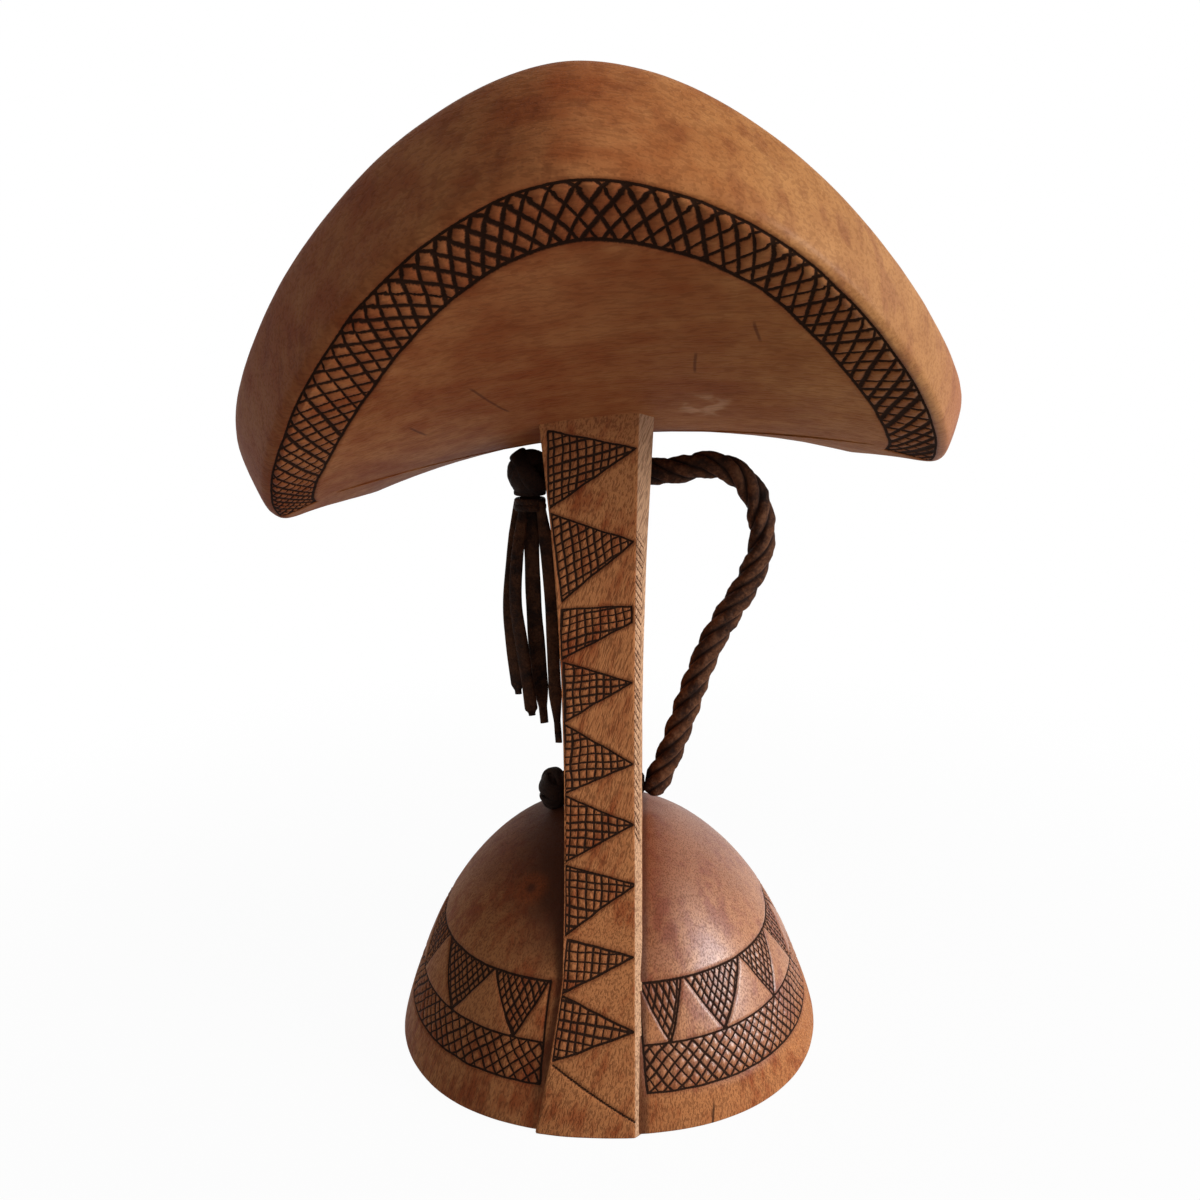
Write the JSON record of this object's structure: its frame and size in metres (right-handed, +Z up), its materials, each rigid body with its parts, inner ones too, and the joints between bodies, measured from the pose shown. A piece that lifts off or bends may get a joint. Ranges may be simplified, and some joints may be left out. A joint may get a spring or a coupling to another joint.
{
  "type": "carved headrest",
  "caption": "Carved wooden headrest: domed base, blade post and saddle pillow in one block, with a twisted leather carrying strap that ends in knots and a hanging tassel.",
  "frame": {"origin": "middle of the base's flat underside, on the post's line", "axes": "+Z up, Y along the pillow between its two raised ends, +X across the pillow towards the strap"},
  "size_m": [0.1266, 0.162, 0.1701],
  "materials": {
    "wood": "satin, hand-polished by use",
    "knot_leather": "dull, dark with handling",
    "strap_leather": "matt, napped"
  },
  "bodies": {
    "headrest": {"carved_body": "wood", "upper_knot": "knot_leather", "lower_knot": "knot_leather"},
    "strap": {"strap_loop": "strap_leather"},
    "binding": {"tassel_binding": "knot_leather"},
    "tails": {"tail_1": "strap_leather", "tail_2": "strap_leather", "tail_3": "strap_leather", "tail_4": "strap_leather"}
  },
  "joints": [
    {"name": "strap_swing", "type": "hinge", "parent": "headrest", "child": "strap", "pos_m": [0.01198, 0, 0.0821], "axis": [0.0283, 0, 0.9996], "range_deg": [-75, 75]},
    {"name": "tassel_swing", "type": "hinge", "parent": "headrest", "child": "binding", "pos_m": [-0.0146, 0, 0.1148], "axis": [1, 0, 0], "range_deg": [-60, 60]},
    {"name": "tassel_lift", "type": "hinge", "parent": "binding", "child": "tails", "pos_m": [-0.0146, 0, 0.1148], "axis": [0, 1, 0], "range_deg": [0, 60]}
  ]
}
